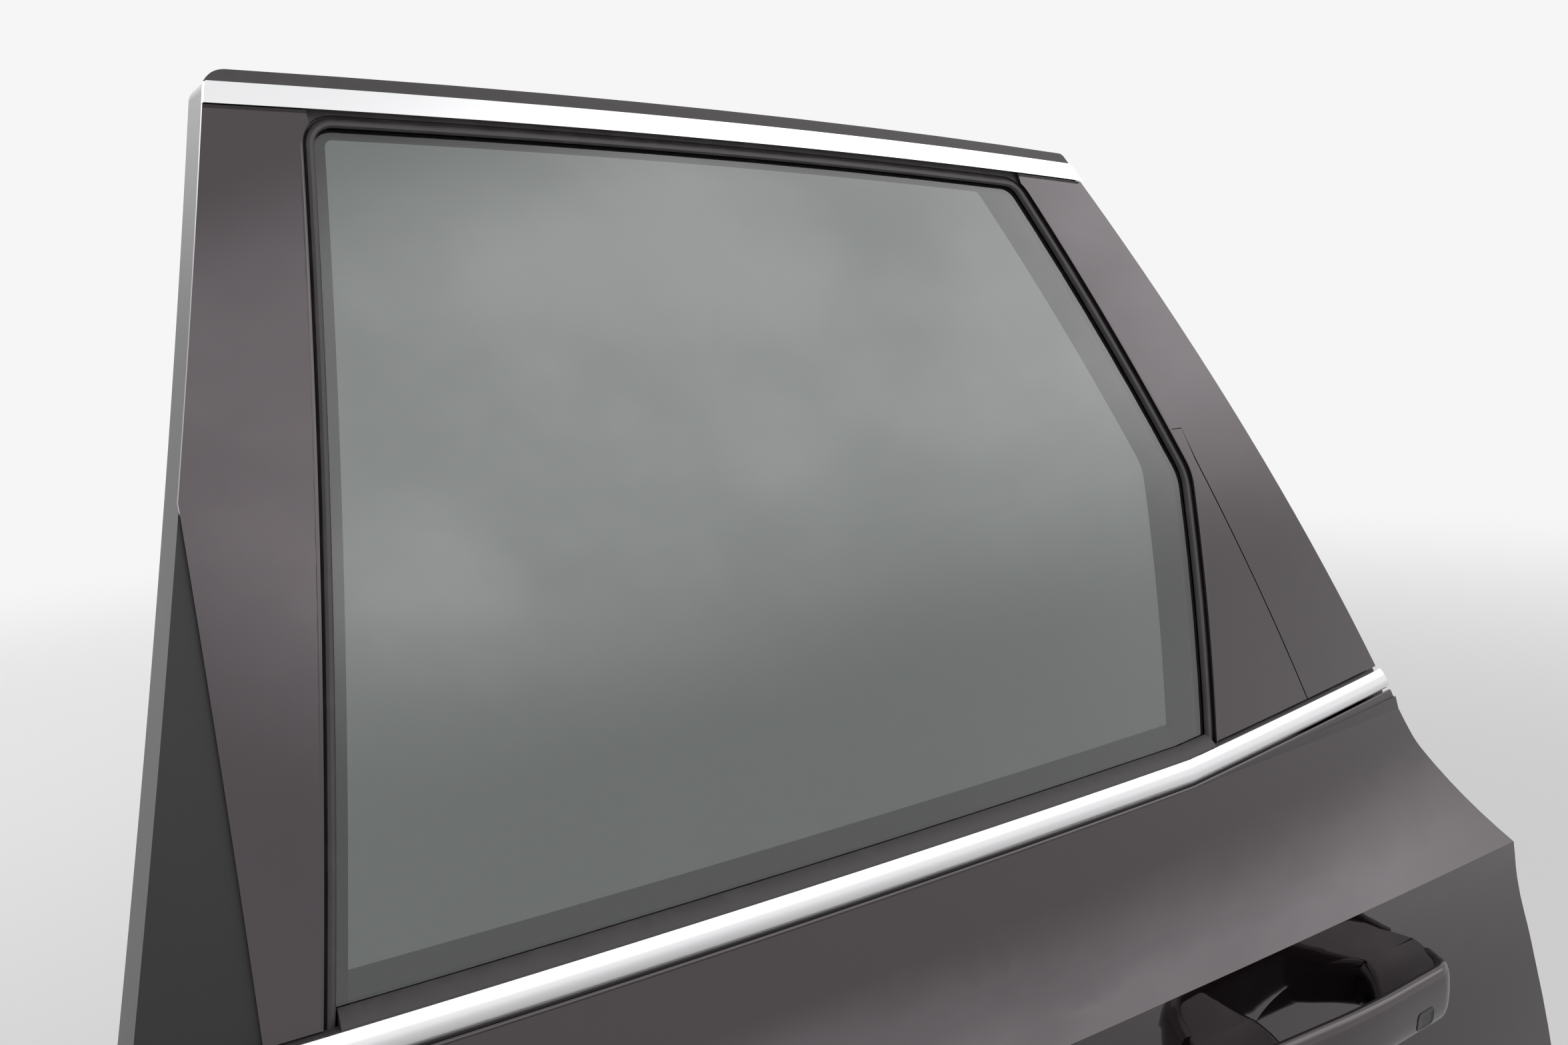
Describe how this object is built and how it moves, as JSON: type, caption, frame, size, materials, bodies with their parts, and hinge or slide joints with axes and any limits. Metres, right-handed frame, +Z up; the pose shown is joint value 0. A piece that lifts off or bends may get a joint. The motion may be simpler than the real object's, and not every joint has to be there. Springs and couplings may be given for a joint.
{
  "type": "vehicle rear side door",
  "caption": "Left rear side door of a crossover vehicle with framed drop glass, bright strips, outside handle, lined inner side and the pillar halves of its hinges.",
  "frame": {"origin": "centre of the lower hinge's two pillar bolts, on the leaf's face that lies against the pillar", "axes": "+X to the vehicle's rear, +Y inboard, +Z up; the outside of the door faces -Y"},
  "size_m": [1.1549, 0.3119, 1.1662],
  "materials": {
    "black_paint": "gloss black clear-coated paint",
    "gloss_black": "gloss black",
    "satin_black": "satin black",
    "tinted_glass": "clear, faint green tint",
    "rubber": "matt",
    "bright_strip": "bright anodised",
    "inner_plastic": "grained",
    "arm_pad": "soft, fine grain",
    "cladding_plastic": "fine grain",
    "latch_steel": "zinc plated"
  },
  "bodies": {
    "pillar_side": {"upper_hinge_pillar_leaf": "black_paint", "upper_hinge_pin": "latch_steel", "lower_hinge_pillar_leaf": "black_paint", "lower_hinge_pin": "latch_steel", "check_strap": "latch_steel", "check_bracket": "latch_steel"},
    "door": {"outer_skin": "black_paint", "handle_bowl": "satin_black", "inner_panel": "black_paint", "belt_rail": "satin_black", "frame_front_post": "satin_black", "frame_top_rail": "satin_black", "frame_rear_post": "satin_black", "frame_division_bar": "satin_black", "drop_glass": "tinted_glass", "run_channel": "rubber", "front_pillar_cover": "gloss_black", "rear_pillar_cover": "gloss_black", "rear_filler_cover": "gloss_black", "top_trim": "bright_strip", "upper_seal": "rubber", "belt_trim": "bright_strip", "belt_outer_seal": "rubber", "belt_inner_seal": "rubber", "door_seal": "rubber", "sail_trim": "inner_plastic", "trim_panel": "inner_plastic", "armrest": "arm_pad", "window_switch": "gloss_black", "map_pocket": "inner_plastic", "speaker_grille": "inner_plastic", "release_bezel": "inner_plastic", "release_lever": "bright_strip", "lower_cladding": "cladding_plastic", "handle_bar": "gloss_black", "handle_rear_base": "gloss_black", "handle_front_base": "gloss_black", "handle_sensor": "satin_black", "door_latch": "latch_steel", "upper_hinge_door_leaf": "black_paint", "lower_hinge_door_leaf": "black_paint", "check_housing": "inner_plastic", "wiring_socket": "inner_plastic"}
  },
  "joints": [
    {"name": "door_swing", "type": "hinge", "parent": "pillar_side", "child": "door", "pos_m": [0.062, -0.048, 0], "axis": [0, 0, -1], "range_deg": [0, 70]}
  ]
}
